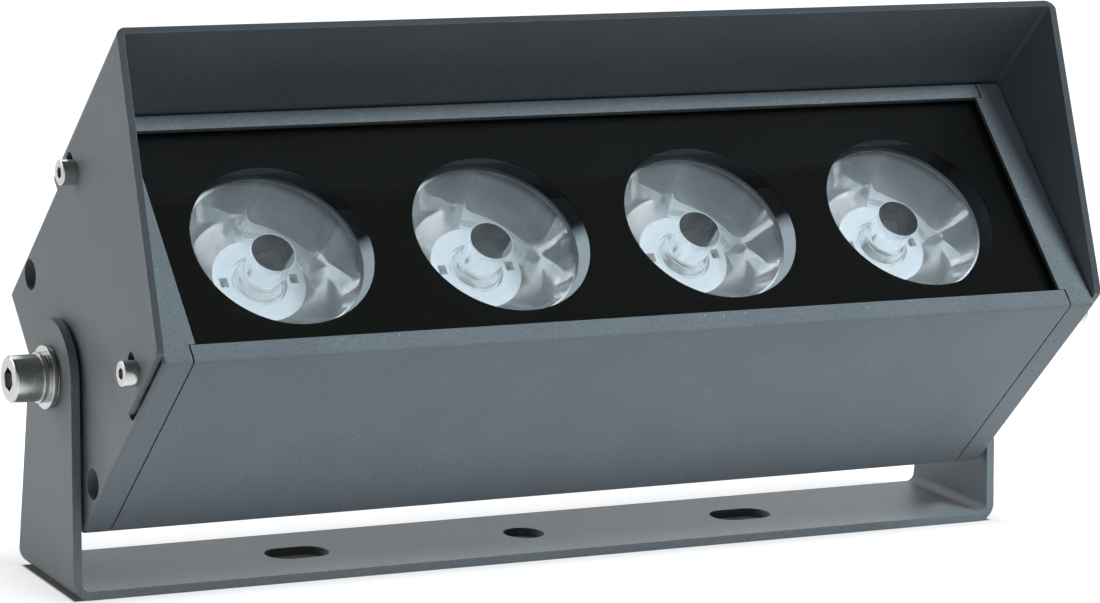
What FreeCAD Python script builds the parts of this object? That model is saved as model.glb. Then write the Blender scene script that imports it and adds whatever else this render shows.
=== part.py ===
"""Adjustable LED flood light: four collimating lenses behind a dark front pane,
an extruded housing with cast end caps, a folded visor and a tilting yoke.

The head is drawn square in its own frame (x along the length, y = depth behind the
front face, z = height about the middle of the face) and then tilted on the yoke pivots.
All sizes are in millimetres.
"""
import os
import math
import FreeCAD
import Part

V = FreeCAD.Vector

# Optics: the lens sizes set the size of the whole head
LENS_COUNT = 4
LENS_PITCH = 65.1
LENS_R = 25.5
LENS_TALL = 23.0
LENS_RIM = 1.0
LENS_STEP = 0.3
LENS_BASE_R = 13.2
WALL_FULLNESS = 0.57
CUP_R = 6.5
CUP_MOUTH_R = 7.2
CUP_EDGE = 5.0
CUP_AXIS = 4.0
WELL_R = 5.6
WELL_MOUTH_R = 6.1
WELL_EDGE = 7.0
WELL_AXIS = 7.6
LENS_LIFT = 1.2
LENS_GAP = 6.3
LENS_SIDE_GAP = 3.5
LENS_END_GAP = 11.35
WINDOW_MARGIN = 0.3
WINDOW_DROP = 2.2
COB_SIDE = 19.0
COB_T = 1.6
COB_STEP = 0.5
COB_EMIT_R = 7.0
COB_CLEAR = 0.3
SEAT_RISE = 2.2
SEAT_WALL = 1.5
SEAT_MOUTH_PLAY = 0.8
TERMINAL_R = 10.2
TERMINAL_L = 2.4
TERMINAL_W = 3.0
WIRE_NOTCH_W = 4.0
WIRE_NOTCH_T = 1.0
PLATE_T = 2.0
PLATE_END_GAP = 8.5
PLATE_EDGE_GAP = 6.0
PLATE_CORNER = 3.0
PLATE_SCREW_INSET = 5.0
PLATE_SCREW_EDGE = 4.0

# Housing extrusion, end caps and front pane
SHEET = 2.0
CAP_THICK = 8.0
SEAM = 0.5
WALL = 3.0
EDGE_R = 1.2
LIP_DEPTH = 1.2
LIP_HEIGHT = 5.4
SIDE_LIP = 2.0
GASKET_T = 0.6
GASKET_INSET = 1.2
GASKET_LAND = 1.0
GLASS_T = 3.0
GLASS_EDGE = 0.25
MASK_T = 0.4
SLOT_PLAY = 0.3
END_PLAY = 0.2
LEDGE_T = 2.0
LEDGE_REACH = 2.0
WEB_T = 5.0
REAR_WALL_T = 3.0
FIN_TALL = 9.0
FIN_T = 2.0
FIN_COUNT = 3
LAND_HALF = 14.0
GAP = 0.3

# Screws on the ends and on the plate of the emitters
M4_R = 2.0
M4_HEAD_R = 3.5
M4_HEAD_H = 4.0
M4_SOCKET = 3.0
M4_SOCKET_DEPTH = 2.2
M4_LOW_HEAD_H = 2.8
M4_LOW_SOCKET = 2.5
M4_LOW_SOCKET_DEPTH = 1.6
HEAD_ROUND = 0.4
CAP_SCREW_L = 18.0
VISOR_SCREW_L = 25.0
THREAD_PLAY = 0.1
HOLE_PLAY = 0.25
FRONT_SCREW_D = 14.6
FRONT_SCREW_EDGE = 7.4
REAR_SCREW_INSET = 17.0
REAR_SCREW_EDGE = 5.4
PORT_WALL_FRONT = 1.6
PORT_WALL_REAR = 2.4
PORT_WEB = 0.7
CBORE_PLAY = 0.8
CBORE_FLOOR = 1.8
M3_R = 1.5
M3_HEAD_R = 2.75
M3_HEAD_H = 2.0
M3_SOCKET = 2.5
M3_SOCKET_DEPTH = 1.2

# Visor
VISOR_REACH = 35.4
VISOR_REAR = 27.5
VISOR_BEND_R = 3.0
VISOR_LIFT = 0.3
FLANGE_TOE_D = -1.8
FLANGE_EDGE = 2.3
FLANGE_TIP_R = 4.0
FLANGE_TOE_R = 2.5
FLANGE_HEEL_R = 1.5
VISOR_SLOT_PLAY = 0.3
VISOR_SLOT_TRAVEL = 4.2
VISOR_SLOT_REST = 0.3
DRAIN_R = 2.0
DRAIN_EDGE = 1.5
DRAIN_START = 1.5
DRAIN_PAST = 0.3
DRAIN_DEPTH = 2.0

# Driver on its rails
DRIVER_LENGTH = 150.0
DRIVER_END_GAP = 16.5
DRIVER_HALF_H = 22.0
DRIVER_TALL = 20.0
DRIVER_HEADROOM = 5.7
DRIVER_ROUND = 1.5
DRIVER_EAR = 7.0
DRIVER_TAB = 4.0
DRIVER_FOOT_T = 1.5
RAIL_T = 1.5
RAIL_W = 2.0
RAIL_HOOK = 2.5

# Yoke and pivots
TILT = 46.4
PIVOT_INSET = 18.0
PIVOT_Z = 58.0
YOKE_T = 2.5
YOKE_HALF_DEPTH = 21.0
YOKE_BEND_R = 5.0
ARM_R = 16.0
FRICTION_T = 1.0
RUN_GAP = 0.1
BASE_HOLE_R = 6.0
BASE_SLOT_W = 12.0
BASE_SLOT_L = 19.0
BASE_SLOT_X = 71.5
M8_R = 4.0
M8_HEAD_R = 6.5
M8_HEAD_H = 8.0
M8_SOCKET = 6.0
M8_SOCKET_DEPTH = 4.0
M8_HEAD_ROUND = 0.8
M8_PLAY = 0.3
WASHER_PLAY = 0.2
COLLAR_R = 8.2
COLLAR_T = 0.8
COLLAR_GROOVE_W = 0.2
COLLAR_GROOVE_T = 0.7
FLAT_R = 8.75
FLAT_T = 1.0
SPRING_R = 7.0
SPRING_T = 2.0
SPRING_SPLIT = 1.2
SPRING_SLANT = 20.0
FRICTION_R = 11.0
INSERT_R = 6.0
INSERT_FLOOR = 1.0
INSERT_PLAY = 0.05
BOLT_SHORT = 0.5

# Cable gland
GLAND_END_GAP = 44.5
GLAND_THREAD_R = 8.0
GLAND_TAIL = 10.0
GLAND_AF = 20.0
GLAND_HEX_T = 5.0
GLAND_NUT_EXTRA = 2.0
GLAND_NUT_T = 4.0
GLAND_BORE_R = 4.6
SPIGOT_L = 6.0
SPIGOT_STEP = 0.4
SEAL_SEAT_L = 4.8
SEAL_SEAT_WALL = 1.2
SEAL_PLAY = 0.2
SEAL_NOSE_L = 4.6
SEAL_NOSE_R = 4.9
CABLE_R = 3.2
DOME_HEX_T = 7.0
DOME_NOSE_L = 6.0
DOME_MOUTH_R = 4.4
DOME_LIP = 2.2
DOME_SHOULDER = 0.6

# Derived sizes: along the length
LENS_X = [LENS_PITCH * (i - (LENS_COUNT - 1) / 2.0) for i in range(LENS_COUNT)]
HOUSE_END = LENS_X[-1] + LENS_R + LENS_END_GAP
CAP_IN = HOUSE_END + SEAM
CAP_OUT = CAP_IN + CAP_THICK
VISOR_WIDTH = 2.0 * (CAP_OUT + SHEET)
ARM_IN = CAP_OUT + FRICTION_T + RUN_GAP
ARM_OUT = ARM_IN + YOKE_T
COLLAR_X = ARM_OUT + RUN_GAP
FLAT_X = COLLAR_X + COLLAR_T
SPRING_X = FLAT_X + FLAT_T
M8_HEAD_X = SPRING_X + SPRING_T
INSERT_L = CAP_THICK - INSERT_FLOOR
CBORE_DEPTH = CAP_THICK - CBORE_FLOOR
PLATE_HALF_X = HOUSE_END - PLATE_END_GAP
DRIVER_X0 = DRIVER_END_GAP - HOUSE_END
DRIVER_X1 = DRIVER_X0 + DRIVER_LENGTH
GLAND_X = HOUSE_END - GLAND_END_GAP

# Derived sizes: over the height of the face
PORT_R_FRONT = M4_R + PORT_WALL_FRONT
PORT_R_REAR = M4_R + PORT_WALL_REAR
FRONT_SCREW_H = LENS_R + LENS_SIDE_GAP + PORT_R_FRONT
HALF_H = FRONT_SCREW_H + FRONT_SCREW_EDGE
REAR_SCREW_H = HALF_H - REAR_SCREW_EDGE
OPEN_H = HALF_H - LIP_HEIGHT
INNER_H = HALF_H - WALL
FIN_PITCH = (INNER_H - LAND_HALF - FIN_T) / FIN_COUNT
PLATE_HALF_H = INNER_H - PLATE_EDGE_GAP
PLATE_SCREW_H = PLATE_HALF_H - PLATE_SCREW_EDGE
DRIVER_FOOT_H = DRIVER_HALF_H + DRIVER_EAR
VISOR_TOP = HALF_H + VISOR_LIFT + SHEET
FLANGE_LOW = FLANGE_EDGE - HALF_H

# Derived sizes: from the front face to the rear
GLASS_D0 = LIP_DEPTH + GASKET_T
GLASS_D1 = GLASS_D0 + GLASS_T
LEDGE_D = GLASS_D1 + MASK_T
LENS_FRONT_D = LEDGE_D + LENS_GAP
LENS_BASE_D = LENS_FRONT_D + LENS_TALL
COB_D = LENS_BASE_D + LENS_LIFT
PLATE_D = COB_D + COB_T
WEB_FRONT = PLATE_D + PLATE_T
WEB_REAR = WEB_FRONT + WEB_T
REAR_WALL_IN = WEB_REAR + DRIVER_TALL + DRIVER_HEADROOM
FIN_FLOOR = REAR_WALL_IN + REAR_WALL_T
DEPTH = FIN_FLOOR + FIN_TALL
PIVOT_DEPTH = DEPTH - PIVOT_INSET
REAR_SCREW_D = DEPTH - REAR_SCREW_INSET
DRAIN_END = VISOR_REAR + DRAIN_PAST

# Derived sizes: lens wall, holes and screw places
LENS_SHOULDER = LENS_TALL - LENS_RIM
LENS_WALL_TOP = LENS_R - LENS_STEP
WINDOW_R = LENS_R + WINDOW_MARGIN
SEAT_MOUTH_R = CUP_MOUTH_R + SEAT_MOUTH_PLAY
COB_SHELF_D = COB_D + COB_STEP
M4_HOLE_R = M4_R + HOLE_PLAY
CBORE_R = M4_HEAD_R + CBORE_PLAY
VISOR_SLOT_R = M4_R + VISOR_SLOT_PLAY
VISOR_SLOT_RUN = VISOR_SLOT_TRAVEL / 2.0
VISOR_SLOT_SHIFT = VISOR_SLOT_RUN - VISOR_SLOT_REST
M8_HOLE_R = M8_R + M8_PLAY
CAP_SCREWS = [(REAR_SCREW_D, REAR_SCREW_H), (REAR_SCREW_D, -REAR_SCREW_H)]
VISOR_SCREWS = [(FRONT_SCREW_D, FRONT_SCREW_H), (FRONT_SCREW_D, -FRONT_SCREW_H)]
SCREW_PORTS = [(FRONT_SCREW_D, FRONT_SCREW_H, PORT_R_FRONT), (REAR_SCREW_D, REAR_SCREW_H, PORT_R_REAR)]
PLATE_SCREW_END = PLATE_HALF_X - PLATE_SCREW_INSET
PLATE_SCREW_X = [-PLATE_SCREW_END]
PLATE_SCREW_X += [x + LENS_PITCH / 2.0 for x in LENS_X[:-1]]
PLATE_SCREW_X.append(PLATE_SCREW_END)
PLATE_SCREWS = [(x, side * PLATE_SCREW_H) for x in PLATE_SCREW_X for side in (1, -1)]

CUT = 1.0
PARTS = "parts"


def block(x0, x1, y0, y1, z0, z1):
    return Part.makeBox(x1 - x0, y1 - y0, z1 - z0, V(x0, y0, z0))


def rod(radius, start, direction, length):
    return Part.makeCylinder(radius, length, V(*start), V(*direction))


def rod_x(radius, x0, x1, y, z):
    return rod(radius, (x0, y, z), (1, 0, 0), x1 - x0)


def rod_y(radius, y0, y1, x, z):
    return rod(radius, (x, y0, z), (0, 1, 0), y1 - y0)


def rod_z(radius, z0, z1, x, y):
    return rod(radius, (x, y, z0), (0, 0, 1), z1 - z0)


def rounded_loop(points):
    """Closed wire through (u, v, radius) corners, as tangent lines and arcs in the u, v plane."""
    count = len(points)
    spans = []
    for i in range(count):
        pu, pv, _ = points[i - 1]
        cu, cv, r = points[i]
        nu, nv, _ = points[(i + 1) % count]
        a = V(pu - cu, pv - cv, 0).normalize()
        b = V(nu - cu, nv - cv, 0).normalize()
        c = V(cu, cv, 0)
        if r <= 0:
            spans.append((c, None, c))
            continue
        half = a.getAngle(b) / 2.0
        reach = r / math.tan(half)
        mid = (a + b).normalize()
        centre = c + mid * (r / math.sin(half))
        spans.append((c + a * reach, centre - mid * r, c + b * reach))
    edges = []
    for i in range(count):
        start, middle, end = spans[i]
        if middle is not None:
            edges.append(Part.Arc(start, middle, end).toShape())
        following = spans[(i + 1) % count][0]
        if (following - end).Length > 1e-6:
            edges.append(Part.makeLine(end, following))
    return Part.Wire(edges)


def along_x(points, x0, x1):
    """Rounded outline given in (depth, height), extruded from x0 to x1."""
    face = Part.Face(rounded_loop(points))
    face.rotate(V(0, 0, 0), V(1, 1, 1), 120)
    face.translate(V(x0, 0, 0))
    return face.extrude(V(x1 - x0, 0, 0))


def along_y(points, y0, y1):
    """Rounded outline given in (x, height), extruded from y0 to y1."""
    face = Part.Face(rounded_loop(points))
    face.rotate(V(0, 0, 0), V(1, 0, 0), 90)
    face.translate(V(0, y0, 0))
    return face.extrude(V(0, y1 - y0, 0))


def hexagon(across_flats, start, direction, length):
    """Hexagonal bar across the given flats, starting at a point along a direction."""
    radius = across_flats / math.sqrt(3.0)
    corners = []
    for i in range(7):
        angle = math.radians(60.0 * i + 30.0)
        corners.append(V(radius * math.cos(angle), radius * math.sin(angle), 0))
    bar = Part.Face(Part.makePolygon(corners)).extrude(V(0, 0, length))
    turn = FreeCAD.Rotation(V(0, 0, 1), V(*direction))
    bar.Placement = FreeCAD.Placement(V(*start), turn)
    return bar


def mirrored(shape):
    return shape.mirror(V(0, 0, 0), V(1, 0, 0))


def both_sides(shape):
    return [shape, mirrored(shape)]


def tilted(shape):
    """Move a head piece from the square drawing frame to its place on the yoke."""
    piece = shape.copy()
    piece.rotate(V(0, PIVOT_DEPTH, 0), V(1, 0, 0), -TILT)
    piece.translate(V(0, -PIVOT_DEPTH, PIVOT_Z))
    return piece


def save(name, shapes, head=True):
    solids = []
    for shape in shapes:
        for solid in shape.Solids:
            solids.append(tilted(solid) if head else solid)
    result = solids[0] if len(solids) == 1 else Part.makeCompound(solids)
    result.exportStep(os.path.join(PARTS, name + ".step"))


def socket_screw(radius, length, head_r, head_h, socket_af, socket_depth, edge):
    """Socket head screw along -x: head from x = 0 outward, shank inward."""
    head = rod_x(head_r, 0, head_h, 0, 0)
    rim = [e for e in head.Edges if abs(e.BoundBox.XMin - head_h) < 1e-6 and e.BoundBox.XLength < 1e-6]
    head = head.makeFillet(edge, rim)
    head = head.cut(hexagon(socket_af, (head_h - socket_depth, 0, 0), (1, 0, 0), socket_depth + 1))
    shank = rod_x(radius, -length, 0, 0, 0)
    tip = [e for e in shank.Edges if abs(e.BoundBox.XMax + length) < 1e-6]
    shank = shank.makeChamfer(radius * 0.2, tip)
    return head.fuse(shank).removeSplitter()


def placed(shape, x, y, z):
    piece = shape.copy()
    piece.translate(V(x, y, z))
    return piece


def ring_x(outer, inner, x0, x1):
    return rod_x(outer, x0, x1, PIVOT_DEPTH, 0).cut(rod_x(inner, x0 - 1, x1 + 1, PIVOT_DEPTH, 0))


def body_outline(inset=0.0, radius=EDGE_R):
    """Rectangle of the housing section as (depth, height, corner radius)."""
    low, high = inset, DEPTH - inset
    top = HALF_H - inset
    return [(low, -top, radius), (high, -top, radius), (high, top, radius), (low, top, radius)]


def spans(side, low, high):
    """Height range on the upper (1) or lower (-1) side of the section, in rising order."""
    return sorted((side * low, side * high))


def make_housing():
    """Extrusion with a glass slot, a web for the emitters, driver rails, screw ports and rear fins."""
    x0, x1 = -HOUSE_END, HOUSE_END
    outside = HOUSE_END + CUT
    ledge_h = INNER_H - LEDGE_REACH
    body = along_x(body_outline(), x0, x1)
    cuts = [
        block(-outside, outside, -CUT, LIP_DEPTH, -OPEN_H, OPEN_H),
        block(-outside, outside, LIP_DEPTH, LEDGE_D, -INNER_H, INNER_H),
        block(-outside, outside, LEDGE_D, LEDGE_D + LEDGE_T, -ledge_h, ledge_h),
        block(-outside, outside, LEDGE_D + LEDGE_T, WEB_FRONT, -INNER_H, INNER_H),
        block(-outside, outside, WEB_REAR, REAR_WALL_IN, -INNER_H, INNER_H),
        block(-outside, outside, FIN_FLOOR, DEPTH + CUT, -LAND_HALF, LAND_HALF),
    ]
    adds = []
    rail = WEB_REAR + DRIVER_FOOT_T + GAP
    foot = DRIVER_FOOT_H + GAP
    for side in (1, -1):
        for i in range(FIN_COUNT):
            low = LAND_HALF + FIN_T + i * FIN_PITCH
            high = low + FIN_PITCH - (FIN_T if i < FIN_COUNT - 1 else 0.0)
            cuts.append(block(-outside, outside, FIN_FLOOR, DEPTH + CUT, *spans(side, low, high)))
        for d, h, r in SCREW_PORTS:
            half = r * PORT_WEB
            adds.append(rod_x(r, x0, x1, d, side * h))
            adds.append(block(x0, x1, d - half, d + half, *spans(side, h, INNER_H + WALL / 2.0)))
        adds.append(block(x0, x1, WEB_REAR - CUT, rail + RAIL_T, *spans(side, foot, foot + RAIL_W)))
        adds.append(block(x0, x1, rail, rail + RAIL_T, *spans(side, foot - RAIL_HOOK, foot + RAIL_W)))
    holes = [rod_x(M4_R + THREAD_PLAY, -outside, outside, d, h) for d, h in CAP_SCREWS + VISOR_SCREWS]
    for x, h in PLATE_SCREWS:
        holes.append(rod_y(M3_R + THREAD_PLAY, WEB_FRONT - CUT, WEB_REAR + CUT, x, h))
    holes.append(rod_y(GLAND_THREAD_R + SEAL_PLAY, REAR_WALL_IN - CUT, FIN_FLOOR + CUT, GLAND_X, 0))
    return body.cut(cuts).fuse(adds).cut(holes).removeSplitter()


def make_end_cap():
    """Right end cap; the left one is its mirror image."""
    cap = along_x(body_outline(), CAP_IN, CAP_OUT)
    rim = [e for e in cap.Edges if abs(e.BoundBox.XMin - CAP_OUT) < 1e-6 and e.BoundBox.XLength < 1e-6]
    cap = cap.makeFillet(EDGE_R - END_PLAY, rim)
    lip_h = OPEN_H - END_PLAY
    cap = cap.fuse(block(CAP_IN - SIDE_LIP, CAP_IN + CUT, 0.0, LIP_DEPTH, -lip_h, lip_h))
    outside = CAP_OUT + CUT
    cuts = [rod_x(CBORE_R, CAP_OUT - CBORE_DEPTH, outside, d, h) for d, h in CAP_SCREWS]
    cuts += [rod_x(M4_HOLE_R, CAP_IN - CUT, outside, d, h) for d, h in CAP_SCREWS + VISOR_SCREWS]
    cuts.append(rod_x(INSERT_R + INSERT_PLAY, CAP_OUT - INSERT_L, outside, PIVOT_DEPTH, 0))
    drain_h = DRAIN_EDGE + DRAIN_R - HALF_H
    floor = CAP_OUT - DRAIN_DEPTH
    cuts.append(block(floor, outside, DRAIN_START, DRAIN_END, drain_h - DRAIN_R, drain_h + DRAIN_R))
    cuts.append(rod_x(DRAIN_R, floor, outside, DRAIN_END, drain_h))
    return cap.cut(cuts).removeSplitter()


def make_end_gasket():
    """Flat gasket between housing and right end cap, open at the two chambers."""
    x0, x1 = HOUSE_END - CUT, CAP_IN + CUT
    pad = along_x(body_outline(GASKET_INSET, EDGE_R), HOUSE_END, CAP_IN)
    front_h = FRONT_SCREW_H - PORT_R_FRONT - GASKET_LAND
    rear_h = REAR_SCREW_H - PORT_R_REAR - GASKET_LAND
    cuts = [
        block(x0, x1, LEDGE_D + LEDGE_T + GASKET_LAND, WEB_FRONT - GASKET_LAND, -front_h, front_h),
        block(x0, x1, WEB_REAR + GASKET_LAND, REAR_WALL_IN - GASKET_LAND, -rear_h, rear_h),
    ]
    cuts += [rod_x(M4_HOLE_R, x0, x1, d, h) for d, h in CAP_SCREWS + VISOR_SCREWS]
    return pad.cut(cuts)


def make_visor():
    """Sheet folded over the head: a flat top and two flanges with a slanted front edge."""
    half = VISOR_WIDTH / 2.0
    under = VISOR_TOP - SHEET
    low = FLANGE_LOW - CUT
    bend_in = VISOR_BEND_R - SHEET
    section = [
        (-half, low, 0), (-half, VISOR_TOP, VISOR_BEND_R), (half, VISOR_TOP, VISOR_BEND_R), (half, low, 0),
        (half - SHEET, low, 0), (half - SHEET, under, bend_in),
        (SHEET - half, under, bend_in), (SHEET - half, low, 0),
    ]
    sheet = along_y(section, -VISOR_REACH, VISOR_REAR)
    keep = [
        (-VISOR_REACH, VISOR_TOP + CUT, 0), (-VISOR_REACH, VISOR_TOP - VISOR_BEND_R, FLANGE_TIP_R),
        (FLANGE_TOE_D, FLANGE_LOW, FLANGE_TOE_R), (VISOR_REAR, FLANGE_LOW, FLANGE_HEEL_R),
        (VISOR_REAR, VISOR_TOP + CUT, 0),
    ]
    outside = half + CUT
    sheet = sheet.common(along_x(keep, -outside, outside))
    slots = []
    r = VISOR_SLOT_R
    for d, h in VISOR_SCREWS:
        top = h + VISOR_SLOT_SHIFT + VISOR_SLOT_RUN
        bottom = h + VISOR_SLOT_SHIFT - VISOR_SLOT_RUN
        slots.append(block(-outside, outside, d - r, d + r, bottom, top))
        slots.append(rod_x(r, -outside, outside, d, bottom))
        slots.append(rod_x(r, -outside, outside, d, top))
    return sheet.cut(slots).removeSplitter()


def make_glass_gasket():
    half_x = HOUSE_END - END_PLAY
    half_h = INNER_H - SLOT_PLAY
    frame = block(-half_x, half_x, LIP_DEPTH, GLASS_D0, -half_h, half_h)
    in_x = CAP_IN - SIDE_LIP + END_PLAY
    in_h = OPEN_H + END_PLAY
    return frame.cut(block(-in_x, in_x, 0, DEPTH, -in_h, in_h))


def make_pane(d0, d1):
    half_x = HOUSE_END - END_PLAY
    half_h = INNER_H - SLOT_PLAY
    return block(-half_x, half_x, d0, d1, -half_h, half_h)


def make_glass():
    pane = make_pane(GLASS_D0, GLASS_D1)
    return pane.makeChamfer(GLASS_EDGE, pane.Edges)


def make_mask():
    """Opaque sheet behind the glass with one round window for each lens."""
    sheet = make_pane(GLASS_D1, LEDGE_D)
    return sheet.cut([rod_y(WINDOW_R, 0, DEPTH, x, -WINDOW_DROP) for x in LENS_X])


def lens_wall_r(s):
    """Radius of the reflecting wall of the lens at the height s above its base."""
    t = s / LENS_SHOULDER
    bulge = 2.0 * WALL_FULLNESS
    return LENS_BASE_R + (LENS_WALL_TOP - LENS_BASE_R) * t * (bulge - (bulge - 1.0) * t)


def dome_mid(r_edge, s_edge, s_axis):
    """Point halfway out on a spherical cap centred on the lens axis."""
    rise = s_edge - s_axis
    ball = (r_edge ** 2 + rise ** 2) / (2.0 * abs(rise))
    r_mid = r_edge / 2.0
    lift = ball - math.sqrt(ball ** 2 - r_mid ** 2)
    return r_mid, s_axis + math.copysign(lift, rise)


def make_lens():
    """Collimating lens turned about the y axis: light enters at the rear cup, leaves at the front."""
    def at(r, s):
        return V(r, LENS_BASE_D - s, 0)
    full_r = LENS_BASE_R + WALL_FULLNESS * (LENS_WALL_TOP - LENS_BASE_R)
    wall = Part.BezierCurve()
    wall.setPoles([at(LENS_BASE_R, 0), at(full_r, LENS_SHOULDER / 2.0), at(LENS_WALL_TOP, LENS_SHOULDER)])
    cup_mid = at(*dome_mid(CUP_R, CUP_EDGE, CUP_AXIS))
    well_mid = at(*dome_mid(WELL_R, WELL_EDGE, WELL_AXIS))
    edges = [
        Part.Arc(at(0, CUP_AXIS), cup_mid, at(CUP_R, CUP_EDGE)).toShape(),
        Part.makeLine(at(CUP_R, CUP_EDGE), at(CUP_MOUTH_R, 0)),
        Part.makeLine(at(CUP_MOUTH_R, 0), at(LENS_BASE_R, 0)),
        wall.toShape(),
        Part.makeLine(at(LENS_WALL_TOP, LENS_SHOULDER), at(LENS_R, LENS_SHOULDER)),
        Part.makeLine(at(LENS_R, LENS_SHOULDER), at(LENS_R, LENS_TALL)),
        Part.makeLine(at(LENS_R, LENS_TALL), at(WELL_MOUTH_R, LENS_TALL)),
        Part.makeLine(at(WELL_MOUTH_R, LENS_TALL), at(WELL_R, WELL_EDGE)),
        Part.Arc(at(WELL_R, WELL_EDGE), well_mid, at(0, WELL_AXIS)).toShape(),
        Part.makeLine(at(0, WELL_AXIS), at(0, CUP_AXIS)),
    ]
    return Part.Face(Part.Wire(edges)).revolve(V(0, 0, 0), V(0, 1, 0), 360).Solids[0]


def make_seat():
    """White holder: clamps the emitter, carries the base of the lens and has a window over each terminal."""
    inner = LENS_BASE_R + GAP
    rim = lens_wall_r(SEAT_RISE) + GAP
    outer = rim + SEAT_WALL
    rim_d = LENS_BASE_D - SEAT_RISE
    profile = [(SEAT_MOUTH_R, LENS_BASE_D), (inner, LENS_BASE_D), (rim, rim_d), (outer, rim_d)]
    profile += [(outer, PLATE_D), (SEAT_MOUTH_R, PLATE_D), (SEAT_MOUTH_R, LENS_BASE_D)]
    face = Part.Face(Part.makePolygon([V(r, d, 0) for r, d in profile]))
    ring = face.revolve(V(0, 0, 0), V(0, 1, 0), 360).Solids[0]
    pocket = COB_SIDE / 2.0 + COB_CLEAR
    half = WIRE_NOTCH_W / 2.0
    cuts = [
        block(-pocket, pocket, COB_SHELF_D, PLATE_D + CUT, -pocket, pocket),
        block(-outer - CUT, outer + CUT, PLATE_D - WIRE_NOTCH_T, PLATE_D + CUT, -half, half),
    ]
    near = TERMINAL_R - TERMINAL_L / 2.0
    far = TERMINAL_R + TERMINAL_L / 2.0
    side = TERMINAL_W / 2.0
    cuts.append(block(near, far, LENS_BASE_D - CUT, COB_SHELF_D + CUT, -side, side))
    cuts.append(block(-far, -near, LENS_BASE_D - CUT, COB_SHELF_D + CUT, -side, side))
    return ring.cut(cuts)


def make_emitter():
    half = COB_SIDE / 2.0
    chip = block(-half, half, COB_SHELF_D, PLATE_D, -half, half)
    return chip.fuse(rod_y(COB_EMIT_R, COB_D, PLATE_D, 0, 0)).removeSplitter()


def make_plate():
    plate = block(-PLATE_HALF_X, PLATE_HALF_X, PLATE_D, WEB_FRONT, -PLATE_HALF_H, PLATE_HALF_H)
    corners = [e for e in plate.Edges if abs(e.BoundBox.YLength - PLATE_T) < 1e-3]
    plate = plate.makeFillet(PLATE_CORNER, corners)
    hole_r = M3_R + WASHER_PLAY
    return plate.cut([rod_y(hole_r, PLATE_D - CUT, WEB_FRONT + CUT, x, h) for x, h in PLATE_SCREWS])


def make_plate_screws():
    reach = PLATE_T + WEB_T - BOLT_SHORT
    screw = socket_screw(M3_R, reach, M3_HEAD_R, M3_HEAD_H, M3_SOCKET, M3_SOCKET_DEPTH, HEAD_ROUND)
    screw.rotate(V(0, 0, 0), V(0, 0, 1), -90)
    return [placed(screw, x, PLATE_D, h) for x, h in PLATE_SCREWS]


def make_driver():
    """Potted supply with two ears that slide in the rails behind the web."""
    back = WEB_REAR + DRIVER_TALL
    ears = block(
        DRIVER_X0 - DRIVER_TAB, DRIVER_X1 + DRIVER_TAB, WEB_REAR, WEB_REAR + DRIVER_FOOT_T,
        -DRIVER_FOOT_H, DRIVER_FOOT_H)
    case = block(DRIVER_X0, DRIVER_X1, WEB_REAR, back, -DRIVER_HALF_H, DRIVER_HALF_H)
    edges = [e for e in case.Edges if e.BoundBox.YMax > back - 1e-3]
    return ears.fuse(case.makeFillet(DRIVER_ROUND, edges)).removeSplitter()


def make_gland():
    """Body, lock nut, sealing insert and dome nut of the cable gland on the rear land."""
    back = (0, 1, 0)
    hex_end = FIN_FLOOR + GLAND_HEX_T
    mouth = hex_end + SPIGOT_L
    spigot_r = GLAND_THREAD_R - SPIGOT_STEP
    seat_r = spigot_r - SEAL_SEAT_WALL
    seal_r = seat_r - SEAL_PLAY

    def cone(r0, r1, start, length):
        return Part.makeCone(r0, r1, length, V(GLAND_X, start, 0), V(*back))

    def bore(r, start, end):
        return rod_y(r, start, end, GLAND_X, 0)

    far = DEPTH + DOME_HEX_T + DOME_NOSE_L + SPIGOT_L
    body = hexagon(GLAND_AF, (GLAND_X, FIN_FLOOR, 0), back, GLAND_HEX_T)
    tail = FIN_FLOOR - GLAND_TAIL
    body = body.fuse([bore(GLAND_THREAD_R, tail, hex_end), bore(spigot_r, FIN_FLOOR, mouth)])
    body = body.cut(bore(GLAND_BORE_R, tail - CUT, mouth + CUT))
    body = body.cut(cone(GLAND_BORE_R, seat_r, mouth - SEAL_SEAT_L, SEAL_SEAT_L)).removeSplitter()

    nut = hexagon(GLAND_AF + GLAND_NUT_EXTRA, (GLAND_X, REAR_WALL_IN - GLAND_NUT_T, 0), back, GLAND_NUT_T)
    nut = nut.cut(bore(GLAND_THREAD_R + THREAD_PLAY, REAR_WALL_IN - GLAND_NUT_T - CUT, REAR_WALL_IN + CUT))

    seal = cone(GLAND_BORE_R - SEAL_PLAY, seal_r, mouth - SEAL_SEAT_L, SEAL_SEAT_L)
    seal = seal.fuse(cone(seal_r, SEAL_NOSE_R, mouth, SEAL_NOSE_L))
    seal = seal.cut(bore(CABLE_R, FIN_FLOOR, far)).removeSplitter()

    start = hex_end + GAP
    nose = start + DOME_HEX_T
    inner = mouth + GAP
    dome = hexagon(GLAND_AF, (GLAND_X, start, 0), back, DOME_HEX_T)
    dome = dome.fuse(cone(GLAND_AF / 2.0 - DOME_SHOULDER, DOME_MOUTH_R + DOME_LIP, nose, DOME_NOSE_L))
    dome = dome.cut(bore(spigot_r + GAP, start - CUT, inner))
    dome = dome.cut(cone(spigot_r + GAP, SEAL_NOSE_R + GAP, inner, SEAL_NOSE_L))
    dome = dome.cut(bore(DOME_MOUTH_R, start - CUT, far)).removeSplitter()
    return body, nut, seal, dome


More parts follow.
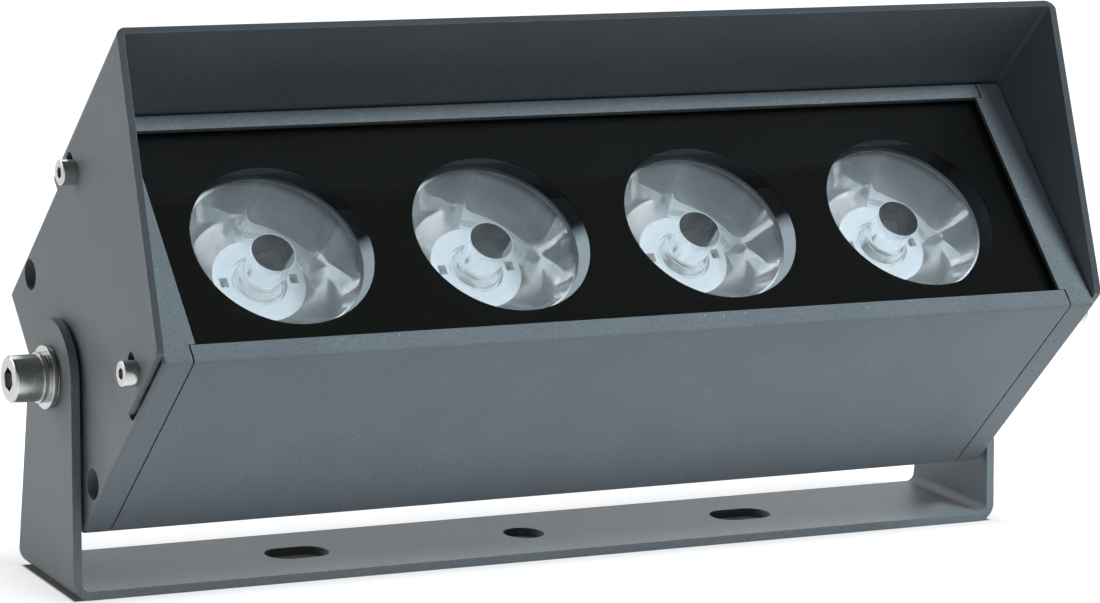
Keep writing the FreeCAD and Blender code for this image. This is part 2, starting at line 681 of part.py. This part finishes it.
def make_yoke():
    out = ARM_OUT
    top = PIVOT_Z + ARM_R + CUT
    inner_r = YOKE_BEND_R - YOKE_T
    section = [
        (-out, top, 0), (-out, 0, YOKE_BEND_R), (out, 0, YOKE_BEND_R), (out, top, 0),
        (ARM_IN, top, 0), (ARM_IN, YOKE_T, inner_r), (-ARM_IN, YOKE_T, inner_r), (-ARM_IN, top, 0),
    ]
    strap = along_y(section, -YOKE_HALF_DEPTH, YOKE_HALF_DEPTH)
    foot = YOKE_BEND_R
    wide = YOKE_HALF_DEPTH + CUT
    reach = math.hypot(YOKE_HALF_DEPTH, PIVOT_Z - foot)
    lean = math.asin(ARM_R / reach) - math.atan2(YOKE_HALF_DEPTH, PIVOT_Z - foot)
    ty = ARM_R * math.cos(lean)
    tz = PIVOT_Z - ARM_R * math.sin(lean)
    corners = [(-ty, tz), (-YOKE_HALF_DEPTH, foot), (-wide, foot), (-wide, -CUT)]
    points = [V(y, z, 0) for y, z in corners]
    points += [V(-y, z, 0) for y, z in reversed(corners)]
    edges = [Part.makeLine(p, q) for p, q in zip(points, points[1:])]
    edges.append(Part.Arc(points[-1], V(0, PIVOT_Z + ARM_R, 0), points[0]).toShape())
    outline = Part.Face(Part.Wire(edges))
    outline.rotate(V(0, 0, 0), V(1, 1, 1), 120)
    outline.translate(V(-out - CUT, 0, 0))
    strap = strap.common(outline.extrude(V(2.0 * (out + CUT), 0, 0)))
    through = YOKE_T + CUT
    holes = [rod_x(M8_HOLE_R, -out - CUT, out + CUT, 0, PIVOT_Z), rod_z(BASE_HOLE_R, -CUT, through, 0, 0)]
    run = (BASE_SLOT_L - BASE_SLOT_W) / 2.0
    r = BASE_SLOT_W / 2.0
    for x in (-BASE_SLOT_X, BASE_SLOT_X):
        holes.append(block(x - run, x + run, -r, r, -CUT, through))
        holes.append(rod_z(r, -CUT, through, x - run, 0))
        holes.append(rod_z(r, -CUT, through, x + run, 0))
    return strap.cut(holes).removeSplitter()


def make_pivots():
    """Bolt, washers, collar and threaded insert of the right pivot; the left ones mirror them."""
    insert_in = CAP_OUT - INSERT_L
    reach = M8_HEAD_X - insert_in - BOLT_SHORT
    bolt = socket_screw(M8_R, reach, M8_HEAD_R, M8_HEAD_H, M8_SOCKET, M8_SOCKET_DEPTH, M8_HEAD_ROUND)
    bolt = placed(bolt, M8_HEAD_X, PIVOT_DEPTH, 0)
    hole = M8_R + WASHER_PLAY
    spring = ring_x(SPRING_R, hole, SPRING_X, M8_HEAD_X)
    half = SPRING_SPLIT / 2.0
    split = block(SPRING_X - CUT, M8_HEAD_X + CUT, PIVOT_DEPTH - half, PIVOT_DEPTH + half, 0, SPRING_R + CUT)
    split.rotate(V(SPRING_X, PIVOT_DEPTH, 0), V(0, 0, 1), SPRING_SLANT)
    spring = spring.cut(split)
    flat = ring_x(FLAT_R, hole, FLAT_X, SPRING_X)
    collar = ring_x(COLLAR_R, hole, COLLAR_X, FLAT_X)
    mid = (COLLAR_X + FLAT_X) / 2.0
    half = COLLAR_GROOVE_W / 2.0
    collar = collar.cut(ring_x(COLLAR_R + CUT, COLLAR_R - COLLAR_GROOVE_T, mid - half, mid + half))
    friction = ring_x(FRICTION_R, M8_HOLE_R, CAP_OUT, CAP_OUT + FRICTION_T)
    insert = ring_x(INSERT_R, M8_R + THREAD_PLAY, insert_in, CAP_OUT)
    return bolt, spring, flat, collar, friction, insert


def screws_on(points, screw, x):
    pieces = []
    for d, h in points:
        pieces += both_sides(placed(screw, x, d, h))
    return pieces


os.makedirs(PARTS, exist_ok=True)
save("yoke", [make_yoke()], head=False)
save("housing", [make_housing()])
cap = make_end_cap()
save("end_cap_right", [cap])
save("end_cap_left", [mirrored(cap)])
end_gasket = make_end_gasket()
save("end_gasket_right", [end_gasket])
save("end_gasket_left", [mirrored(end_gasket)])
low_screw = socket_screw(
    M4_R, CAP_SCREW_L, M4_HEAD_R, M4_LOW_HEAD_H, M4_LOW_SOCKET, M4_LOW_SOCKET_DEPTH, HEAD_ROUND)
save("end_cap_screws", screws_on(CAP_SCREWS, low_screw, CAP_OUT - CBORE_DEPTH))
save("visor", [make_visor()])
visor_screw = socket_screw(
    M4_R, VISOR_SCREW_L, M4_HEAD_R, M4_HEAD_H, M4_SOCKET, M4_SOCKET_DEPTH, HEAD_ROUND)
save("visor_screws", screws_on(VISOR_SCREWS, visor_screw, CAP_OUT + SHEET))
save("glass_gasket", [make_glass_gasket()])
save("front_glass", [make_glass()])
save("window_mask", [make_mask()])
lens = make_lens()
seat = make_seat()
emitter = make_emitter()
for i in range(LENS_COUNT):
    save("lens_%d" % (i + 1), [placed(lens, LENS_X[i], 0, 0)])
    save("lens_seat_%d" % (i + 1), [placed(seat, LENS_X[i], 0, 0)])
    save("led_%d" % (i + 1), [placed(emitter, LENS_X[i], 0, 0)])
save("led_plate", [make_plate()])
save("led_plate_screws", make_plate_screws())
save("driver", [make_driver()])
gland_body, gland_nut, gland_seal, gland_dome = make_gland()
save("gland_body", [gland_body])
save("gland_lock_nut", [gland_nut])
save("gland_seal", [gland_seal])
save("gland_dome", [gland_dome])
bolt, spring, flat, collar, friction, insert = make_pivots()
save("pivot_bolts", both_sides(bolt))
save("pivot_spring_washers", both_sides(spring))
save("pivot_flat_washers", both_sides(flat))
save("pivot_collars", both_sides(collar))
save("pivot_friction_washers", both_sides(friction))
save("pivot_inserts", both_sides(insert))
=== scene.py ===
import math

import bpy
from mathutils import Matrix, Vector


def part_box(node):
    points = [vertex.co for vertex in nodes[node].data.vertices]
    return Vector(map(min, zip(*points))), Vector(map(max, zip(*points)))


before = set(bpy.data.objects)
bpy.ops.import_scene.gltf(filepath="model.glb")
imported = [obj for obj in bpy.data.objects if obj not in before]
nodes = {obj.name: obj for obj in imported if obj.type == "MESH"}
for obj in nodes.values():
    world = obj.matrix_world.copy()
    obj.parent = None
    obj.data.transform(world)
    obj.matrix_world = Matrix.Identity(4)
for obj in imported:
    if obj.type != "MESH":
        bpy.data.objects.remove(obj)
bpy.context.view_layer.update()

# Lengths are in metres, the camera's lens and sensor in millimetres, and texture scales per metre

# The lamp's optical axis at rest, pointing back from the glass
TILT = math.radians(46.4)
AXIS = Vector((0.0, math.cos(TILT), -math.sin(TILT)))

# Camera, as fitted to the photograph
CAM_AZ = math.radians(27.28)
CAM_EL = math.radians(11.45)
CAM_ROLL = math.radians(2.35)
CAM_TARGET = Vector((0.00542, 0.0, 0.07044))
CAM_DISTANCE = 1.3022
CAM_LENS = 148.8
CAM_SENSOR = 36.0

# Lamps
LAMPS = [
    # name, place, size across and down, watts, colour
    ("left_back", (-0.9, 0.7, 0.5), 0.8, 0.8, 4.6, (0.91, 0.95, 1.0)),
    ("right_back", (0.9, 0.8, 0.5), 0.8, 0.8, 2.7, (0.95, 0.98, 1.0)),
    ("back_high", (0.0, 1.0, 0.9), 1.2, 0.8, 5.3, (0.97, 1.0, 1.0)),
    ("front_high", (0.0, -1.0, 1.14), 0.9, 0.2, 3.0, (0.7, 0.85, 1.0)),
    ("right_high", (0.58, -0.86, 1.18), 0.5, 0.2, 22.0, (0.8, 0.93, 1.0)),
]
LAMP_AIM = Vector((0.0, 0.0, 0.08))
# Strip lamps that mirror and glass rays don't see
UNMIRRORED = ("front_high", "right_high")

# World, with a pale horizon for camera, mirror and glass rays. A height is a direction's upward part
WORLD_LEVEL = 0.05
WORLD_COLOUR = (0.95, 0.98, 1.0)
PALE_LEVEL = 0.9
PALE_HEIGHT = 0.1
PALE_END = 0.7

# Floor: tone and glow by the distance outside the base, which is negative under it. Both hold painted
# shade: darker far out, a painted contact shadow round the base, and little glow under it
FLOOR_HALF = 4.0
FLOOR_Z = -0.0001
FLOOR_TINT = (0.94, 0.97, 1.0)
FLOOR_GRAIN_SCALE = 12.0
FLOOR_GRAIN = 0.03
# Painted shade on the far floor, and a painted contact shadow under and round the base
FLOOR_NEAR = 0.05
FLOOR_FAR = 0.22
FLOOR_NEAR_TONE = 0.9
FLOOR_FAR_SHADE_TONE = 0.15
PAINTED_SHADOW_FROM = -0.002
PAINTED_SHADOW_TO = 0.03
PAINTED_SHADOW_TONE = 0.1
GLOW_REACH = 0.2
GLOW_NEAR = 0.75
UNDER_BASE_SHADE_FADE = 0.001
UNDER_BASE_SHADE_GLOW = 0.05

# Range that most of a noise texture lies in
NOISE_LOW = 0.3
NOISE_HIGH = 0.7

# Match of the rounded normal with the true one, as a cosine: near 1 on a face, less on an edge
FACE_MATCH = 0.97
EDGE_MATCH = 0.75
BEVEL_SAMPLES = 6

# Powder coat
PAINT_TONE = (0.19, 0.203, 0.214)
PAINT_ROUGH = (0.42, 0.6)
PAINT_BUMP = 0.35
PAINT_BUMP_DEPTH = 0.00008
GRAIN_SCALE = 1600.0
GRAIN_CONTRAST = 0.23
CLOUD_SCALE = 45.0
CLOUD_CONTRAST = 0.06
# Light edges: partly wear, partly a painted highlight
WEAR_AND_HIGHLIGHT_SCALE = 420.0
WEAR_AND_HIGHLIGHT_RADIUS = 0.00025
WEAR_AND_HIGHLIGHT_NOISE = (0.38, 0.62)
WEAR_AND_HIGHLIGHT_LEAST = 0.15
WEAR_AND_HIGHLIGHT_LIGHT = 2.5
FLECK_SCALE = 330.0
FLECK_CORE = 0.05
FLECK_RIM = 0.1
FLECK_LEVEL = 0.64
FLECK_STRENGTH = 0.75
FLECK_TONE = (0.56, 0.59, 0.6)
# Painted shade on the cut edges that face out along the lamp's axis
SHADED_CUT_FACING = (0.3, 0.5)
CUT_PAINTED_SHADE = 0.4

# Turned steel
STEEL_DARK = (0.42, 0.41, 0.39)
STEEL_LIGHT = (0.58, 0.57, 0.54)
STEEL_ROUGH = (0.16, 0.28)
STEEL_BUMP = 0.15
STEEL_EDGE = 0.00035
TURNING_SCALE = (6000.0, 250.0, 250.0)
MARK_SCALE = 700.0

# Clear solids, with a faint film on them
FILM_SCALE = 60.0
FILM_NOISE = (0.35, 0.75)
FILM_DIM = 0.98
PANE_TINT = (0.985, 0.99, 0.988)
PANE_IOR = 1.5
PANE_HAZE = 0.01
LENS_TINT = (0.98, 0.99, 1.0)
LENS_IOR = 1.49
LENS_HAZE = 0.02
LENS_CLEARNESS = (0.92, 0.87)
LENS_EDGE = 0.0008
LENS_RIM = 0.0012
LENS_RIM_FADE = 0.0003
LENS_FROST = 0.87

# Moulded pieces
SKIN_SCALE = 900.0
SKIN_BUMP = 0.2
FINE_BUMP_DEPTH = 0.00004

# The mask and lenses draw back by a hair, so that touching faces don't coincide when seen through
HAIR = 0.00002
HAIR_NODES = ("window_mask", "lens_1", "lens_2", "lens_3", "lens_4")


def new_material(name):
    mat = bpy.data.materials.new(name)
    mat.use_nodes = True
    mat.node_tree.nodes.clear()
    return mat, mat.node_tree


def add(tree, kind, inputs=None, **settings):
    # A node with its settings, and each input linked to a socket or set to a value
    node = tree.nodes.new(kind)
    for key, value in settings.items():
        setattr(node, key, value)
    for key, value in (inputs or {}).items():
        if isinstance(value, bpy.types.NodeSocket):
            tree.links.new(value, node.inputs[key])
        else:
            node.inputs[key].default_value = value
    return node


def math_node(tree, operation, first, second=0.0):
    return add(tree, "ShaderNodeMath", {0: first, 1: second}, operation=operation).outputs[0]


def vector_node(tree, operation, first, second=(0.0, 0.0, 0.0)):
    node = add(tree, "ShaderNodeVectorMath", {0: first, 1: second}, operation=operation)
    return node.outputs["Value" if operation in ("DOT_PRODUCT", "LENGTH") else "Vector"]


def spread(tree, value, low, high, to_low, to_high):
    inputs = {"Value": value, "From Min": low, "From Max": high, "To Min": to_low, "To Max": to_high}
    return add(tree, "ShaderNodeMapRange", inputs).outputs["Result"]


def stretch(tree, value, to_low, to_high):
    # A noise value, spread over a new range
    return spread(tree, value, NOISE_LOW, NOISE_HIGH, to_low, to_high)


def blend(tree, factor, first, second, mode="MIX"):
    inputs = {0: factor, 6: first, 7: second}
    return add(tree, "ShaderNodeMix", inputs, data_type="RGBA", blend_type=mode).outputs[2]


def object_place(tree):
    return add(tree, "ShaderNodeTexCoord").outputs["Object"]


def noise(tree, place, scale, detail=2.0, roughness=0.5):
    inputs = {"Vector": place, "Scale": scale, "Detail": detail, "Roughness": roughness}
    return add(tree, "ShaderNodeTexNoise", inputs).outputs[0]


def bumped(tree, height, strength, depth, normal=None):
    inputs = {"Height": height, "Strength": strength, "Distance": depth}
    if normal is not None:
        inputs["Normal"] = normal
    return add(tree, "ShaderNodeBump", inputs).outputs["Normal"]


def principled(tree, inputs):
    return add(tree, "ShaderNodeBsdfPrincipled", inputs).outputs[0]


def output(tree, shader):
    add(tree, "ShaderNodeOutputMaterial", {"Surface": shader})


def toned(tone, factor=1.0):
    # A tone as a node colour, made darker or lighter by a factor
    return (*(factor * part for part in tone), 1.0)


def rounded(tree, radius):
    # The normal rounded over at edges
    return add(tree, "ShaderNodeBevel", {"Radius": radius}, samples=BEVEL_SAMPLES).outputs["Normal"]


def edge_mask(tree, radius):
    # The rounded normal, and a mask that is 1 on sharp edges and 0 on faces
    soft = rounded(tree, radius)
    flat = add(tree, "ShaderNodeNewGeometry").outputs["Normal"]
    match = vector_node(tree, "DOT_PRODUCT", soft, flat)
    return soft, spread(tree, match, FACE_MATCH, EDGE_MATCH, 0.0, 1.0)


def paint(name, tone, offset, painted_front_shade=False):
    # Satin powder coat: fine grain, a faint cloud, sparse bright flecks and light edges, partly wear
    # and partly a painted highlight.
    # On a sheet, the cut edges that look out along the lamp's axis can be painted darker, as painted
    # shade
    mat, tree = new_material(name)
    shift = {"Vector": object_place(tree), "Location": offset}
    place = add(tree, "ShaderNodeMapping", shift).outputs["Vector"]
    grain = noise(tree, place, GRAIN_SCALE, detail=3.0, roughness=0.7)
    cloud = noise(tree, place, CLOUD_SCALE, detail=3.0)
    wear_and_highlight = noise(tree, place, WEAR_AND_HIGHLIGHT_SCALE, detail=3.0, roughness=0.7)
    cells = add(tree, "ShaderNodeTexVoronoi", {"Vector": place, "Scale": FLECK_SCALE}).outputs
    fleck = spread(tree, cells["Distance"], FLECK_CORE, FLECK_RIM, FLECK_STRENGTH, 0.0)
    chosen = math_node(tree, "GREATER_THAN", cells["Color"], FLECK_LEVEL)
    fleck = math_node(tree, "MULTIPLY", fleck, chosen)
    # Edges painted lighter: partly wear, partly a painted highlight
    soft, edge = edge_mask(tree, WEAR_AND_HIGHLIGHT_RADIUS)
    edge = math_node(tree, "MULTIPLY", edge, spread(tree, wear_and_highlight, *WEAR_AND_HIGHLIGHT_NOISE, WEAR_AND_HIGHLIGHT_LEAST, 1.0))
    dark = toned(tone, 1.0 - GRAIN_CONTRAST)
    light = toned(tone, 1.0 + GRAIN_CONTRAST)
    colour = blend(tree, stretch(tree, grain, 0.0, 1.0), dark, light)
    shade = stretch(tree, cloud, 1.0 - CLOUD_CONTRAST, 1.0 + CLOUD_CONTRAST)
    colour = blend(tree, 1.0, colour, shade, "MULTIPLY")
    # Painted shade: faces that look out along the lamp's axis are darkened
    if painted_front_shade:
        facing = add(tree, "ShaderNodeTexCoord").outputs["Normal"]
        front = vector_node(tree, "DOT_PRODUCT", facing, -AXIS)
        cut_shade = spread(tree, front, *SHADED_CUT_FACING, 0.0, 1.0)
        colour = blend(tree, cut_shade, colour, toned(tone, CUT_PAINTED_SHADE))
    # Light edges: partly wear, partly a painted highlight
    colour = blend(tree, edge, colour, toned(tone, WEAR_AND_HIGHLIGHT_LIGHT))
    colour = blend(tree, fleck, colour, toned(FLECK_TONE))
    inputs = {
        "Base Color": colour,
        "Roughness": stretch(tree, grain, *PAINT_ROUGH),
        "Normal": bumped(tree, grain, PAINT_BUMP, PAINT_BUMP_DEPTH, soft),
    }
    output(tree, principled(tree, inputs))
    return mat


def turned_steel(name):
    # Stainless fasteners: turning lines round the X axis and light handling marks
    mat, tree = new_material(name)
    place = object_place(tree)
    lines = add(tree, "ShaderNodeMapping", {"Vector": place, "Scale": TURNING_SCALE}).outputs["Vector"]
    turning = noise(tree, lines, 1.0)
    marks = noise(tree, place, MARK_SCALE, detail=4.0, roughness=0.65)
    inputs = {
        "Base Color": blend(tree, marks, toned(STEEL_DARK), toned(STEEL_LIGHT)),
        "Metallic": 1.0,
        "Roughness": stretch(tree, marks, *STEEL_ROUGH),
        "Normal": bumped(tree, turning, STEEL_BUMP, FINE_BUMP_DEPTH, rounded(tree, STEEL_EDGE)),
    }
    output(tree, principled(tree, inputs))
    return mat


def filmed(tree, haze):
    # The noise of a faint film, and the roughness that it gives
    film = noise(tree, object_place(tree), FILM_SCALE, detail=4.0, roughness=0.6)
    return film, spread(tree, film, *FILM_NOISE, 0.0, haze)


def clear_output(tree, solid, tint):
    # Light that only illuminates what lies behind a clear solid passes straight through it
    through = add(tree, "ShaderNodeBsdfTransparent", {"Color": toned(tint)}).outputs[0]
    ray = add(tree, "ShaderNodeLightPath").outputs
    lighting = math_node(tree, "MAXIMUM", ray["Is Shadow Ray"], ray["Is Diffuse Ray"])
    output(tree, add(tree, "ShaderNodeMixShader", {0: lighting, 1: solid, 2: through}).outputs[0])


def pane(name):
    # Clear flat glass
    mat, tree = new_material(name)
    film, rough = filmed(tree, PANE_HAZE)
    inputs = {
        "Base Color": blend(tree, film, toned(PANE_TINT), toned(PANE_TINT, FILM_DIM)),
        "Roughness": rough,
        "IOR": PANE_IOR,
        "Transmission Weight": 1.0,
    }
    clear_output(tree, principled(tree, inputs), PANE_TINT)
    return mat


def acrylic(name, centre, radius):
    # Moulded clear acrylic: slightly milky, more so along its edges, with a frosted outer rim
    mat, tree = new_material(name)
    film, rough = filmed(tree, LENS_HAZE)
    edge = edge_mask(tree, LENS_EDGE)[1]
    arm = vector_node(tree, "SUBTRACT", object_place(tree), centre)
    reach = vector_node(tree, "LENGTH", vector_node(tree, "CROSS_PRODUCT", arm, AXIS))
    rim_start = radius - LENS_RIM
    rim = spread(tree, reach, rim_start, rim_start + LENS_RIM_FADE, 0.0, 1.0)
    frost = math_node(tree, "MULTIPLY", math_node(tree, "MAXIMUM", edge, rim), LENS_FROST)
    inputs = {
        "Base Color": toned(LENS_TINT),
        "Roughness": rough,
        "IOR": LENS_IOR,
        "Transmission Weight": math_node(tree, "SUBTRACT", stretch(tree, film, *LENS_CLEARNESS), frost),
    }
    clear_output(tree, principled(tree, inputs), LENS_TINT)
    return mat


def moulded(name, tone, rough, contrast=0.1, gloss=0.5):
    # Moulded or rubbery surface with a fine skin
    mat, tree = new_material(name)
    place = object_place(tree)
    skin = noise(tree, place, SKIN_SCALE, detail=3.0)
    cloud = noise(tree, place, CLOUD_SCALE)
    inputs = {
        "Base Color": blend(tree, cloud, toned(tone, 1.0 - contrast), toned(tone, 1.0 + contrast)),
        "Roughness": stretch(tree, skin, *rough),
        "Specular IOR Level": gloss,
        "Normal": bumped(tree, skin, SKIN_BUMP, FINE_BUMP_DEPTH),
    }
    output(tree, principled(tree, inputs))
    return mat


def lens_finish(name):
    # The finish of one lens, about its own axis
    low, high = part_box(name)
    centre = (Vector(low) + Vector(high)) / 2.0
    corners = nodes[name].data.vertices
    radius = max((corner.co - centre).cross(AXIS).length for corner in corners)
    return acrylic(name + "_acrylic", centre, radius)


# Finishes by material slot. The visor and each lens have their own
FINISHES = {
    # name, tone and where the texture is taken
    "coated_aluminium": paint("coated_aluminium_paint", PAINT_TONE, (0.0, 0.0, 0.0)),
    "coated_steel": paint("coated_steel_paint", PAINT_TONE, (0.7, 0.3, 0.2)),
    "stainless": turned_steel("turned_stainless"),
    "pane_glass": pane("pane_glass_clear"),
    # name, tone and range of roughness
    "black_print": moulded("black_print_sheet", (0.006, 0.006, 0.0055), (0.5, 0.65), gloss=0.02),
    "white_plastic": moulded("white_seat_plastic", (0.95, 0.95, 0.95), (0.35, 0.5), contrast=0.02),
    "led_emitter": moulded("led_package", (0.84, 0.83, 0.78), (0.4, 0.5), contrast=0.03),
    "coated_board": moulded("grey_coated_board", (0.45, 0.46, 0.48), (0.3, 0.45), contrast=0.02),
    "driver_case": moulded("driver_case_shell", (0.6, 0.6, 0.59), (0.4, 0.55), contrast=0.04),
    "silicone": moulded("silicone_seal", (0.02, 0.02, 0.021), (0.55, 0.7)),
    "gland_polymer": moulded("gland_polyamide", (0.022, 0.022, 0.023), (0.35, 0.5)),
    "washer_polymer": moulded("washer_polyamide", (0.03, 0.03, 0.031), (0.4, 0.5)),
}
# The visor's paint has painted shade on its front cut edges
VISOR_PAINT = paint("visor_paint", PAINT_TONE, (0.4, 0.9, 0.1), painted_front_shade=True)


def finish_of(name, slot_name):
    if name == "visor":
        return VISOR_PAINT
    if slot_name == "lens_clear":
        return lens_finish(name)
    return FINISHES[slot_name]


for name, node in nodes.items():
    for slot in node.material_slots:
        slot.material = finish_of(name, slot.material.name.split(".")[0])

for name in HAIR_NODES:
    hair = nodes[name].modifiers.new("hair_gap", "DISPLACE")
    hair.strength = -HAIR
    hair.mid_level = 0.0


def seen_rays(tree):
    # 1 for rays that show the surroundings: from the camera, in a mirror or through glass
    ray = add(tree, "ShaderNodeLightPath").outputs
    seen = math_node(tree, "MAXIMUM", ray["Is Camera Ray"], ray["Is Glossy Ray"])
    return math_node(tree, "MAXIMUM", seen, ray["Is Transmission Ray"])


def floor_material():
    # Pale floor that reads white, with painted shade under the base and a painted contact shadow round
    # it, and the object's own shadow kept round it
    mat, tree = new_material("studio_floor")
    place = object_place(tree)
    fine = noise(tree, place, FLOOR_GRAIN_SCALE, detail=3.0)
    axes = add(tree, "ShaderNodeSeparateXYZ", {0: place}).outputs
    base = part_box("yoke")[1]
    along = math_node(tree, "SUBTRACT", math_node(tree, "ABSOLUTE", axes["X"]), base[0])
    across = math_node(tree, "SUBTRACT", math_node(tree, "ABSOLUTE", axes["Y"]), base[1])
    outside = math_node(tree, "MAXIMUM", along, across)
    # Painted shade: the floor darkens from near the base to far out, which keeps the far floor's bounce
    # light low
    tone = spread(tree, outside, FLOOR_NEAR, FLOOR_FAR, FLOOR_NEAR_TONE, FLOOR_FAR_SHADE_TONE)
    # Painted contact shadow: the tone drops right round and under the base
    painted_shadow = spread(tree, outside, PAINTED_SHADOW_FROM, PAINTED_SHADOW_TO, PAINTED_SHADOW_TONE, 1.0)
    tone = math_node(tree, "MULTIPLY", tone, painted_shadow)
    grain = stretch(tree, fine, 1.0 - FLOOR_GRAIN, 1.0 + FLOOR_GRAIN)
    tone = math_node(tree, "MULTIPLY", tone, grain)
    colour = blend(tree, 1.0, tone, toned(FLOOR_TINT), "MULTIPLY")
    glow = spread(tree, outside, 0.0, GLOW_REACH, GLOW_NEAR, 1.0)
    # Painted shade under the base: almost no glow there
    glow = math_node(tree, "MULTIPLY", glow, spread(tree, outside, -UNDER_BASE_SHADE_FADE, 0.0, UNDER_BASE_SHADE_GLOW, 1.0))
    plain = add(tree, "ShaderNodeBsdfDiffuse", {"Color": colour}).outputs[0]
    light = add(tree, "ShaderNodeEmission", {"Strength": glow}).outputs[0]
    lit = add(tree, "ShaderNodeAddShader", {0: plain, 1: light}).outputs[0]
    output(tree, add(tree, "ShaderNodeMixShader", {0: seen_rays(tree), 1: plain, 2: lit}).outputs[0])
    return mat


def make_floor():
    mesh = bpy.data.meshes.new("floor")
    signs = [(-1, -1), (1, -1), (1, 1), (-1, 1)]
    corners = [(x * FLOOR_HALF, y * FLOOR_HALF, FLOOR_Z) for x, y in signs]
    mesh.from_pydata(corners, [], [(0, 1, 2, 3)])
    mesh.materials.append(floor_material())
    floor = bpy.data.objects.new("floor", mesh)
    bpy.context.scene.collection.objects.link(floor)


def make_world():
    world = bpy.data.worlds.new("studio")
    bpy.context.scene.world = world
    world.use_nodes = True
    tree = world.node_tree
    tree.nodes.clear()
    direction = add(tree, "ShaderNodeTexCoord").outputs["Generated"]
    height = add(tree, "ShaderNodeSeparateXYZ", {0: direction}).outputs["Z"]
    lighting = spread(tree, height, 0.0, 1.0, 0.0, WORLD_LEVEL)
    pale = spread(tree, height, PALE_HEIGHT, PALE_END, PALE_LEVEL, WORLD_LEVEL)
    level = add(tree, "ShaderNodeMix", {0: seen_rays(tree), 2: lighting, 3: pale}).outputs[0]
    sky = add(tree, "ShaderNodeBackground", {"Color": toned(WORLD_COLOUR), "Strength": level})
    add(tree, "ShaderNodeOutputWorld", {"Surface": sky.outputs[0]})


def make_lamp(name, place, across, down, watts, colour):
    lamp = bpy.data.lights.new("lamp_" + name, "AREA")
    lamp.shape = "RECTANGLE"
    lamp.size = across
    lamp.size_y = down
    lamp.energy = watts
    lamp.color = colour
    holder = bpy.data.objects.new("lamp_" + name, lamp)
    holder.location = place
    holder.rotation_euler = (LAMP_AIM - Vector(place)).to_track_quat("-Z", "Y").to_euler()
    holder.visible_glossy = name not in UNMIRRORED
    holder.visible_transmission = name not in UNMIRRORED
    bpy.context.scene.collection.objects.link(holder)


def make_camera():
    ahead = math.cos(CAM_EL)
    forward = Vector((math.sin(CAM_AZ) * ahead, math.cos(CAM_AZ) * ahead, -math.sin(CAM_EL)))
    level = Vector((math.cos(CAM_AZ), -math.sin(CAM_AZ), 0.0))
    upright = level.cross(forward)
    right = math.cos(CAM_ROLL) * level + math.sin(CAM_ROLL) * upright
    up = -math.sin(CAM_ROLL) * level + math.cos(CAM_ROLL) * upright
    data = bpy.data.cameras.new("camera")
    data.lens = CAM_LENS
    data.sensor_fit = "HORIZONTAL"
    data.sensor_width = CAM_SENSOR
    camera = bpy.data.objects.new("camera", data)
    turn = Matrix((right, up, -forward)).transposed().to_4x4()
    camera.matrix_world = Matrix.Translation(CAM_TARGET - CAM_DISTANCE * forward) @ turn
    bpy.context.scene.collection.objects.link(camera)
    bpy.context.scene.camera = camera


make_floor()
make_world()
for lamp_facts in LAMPS:
    make_lamp(*lamp_facts)
make_camera()
bpy.context.scene.view_settings.view_transform = "Standard"
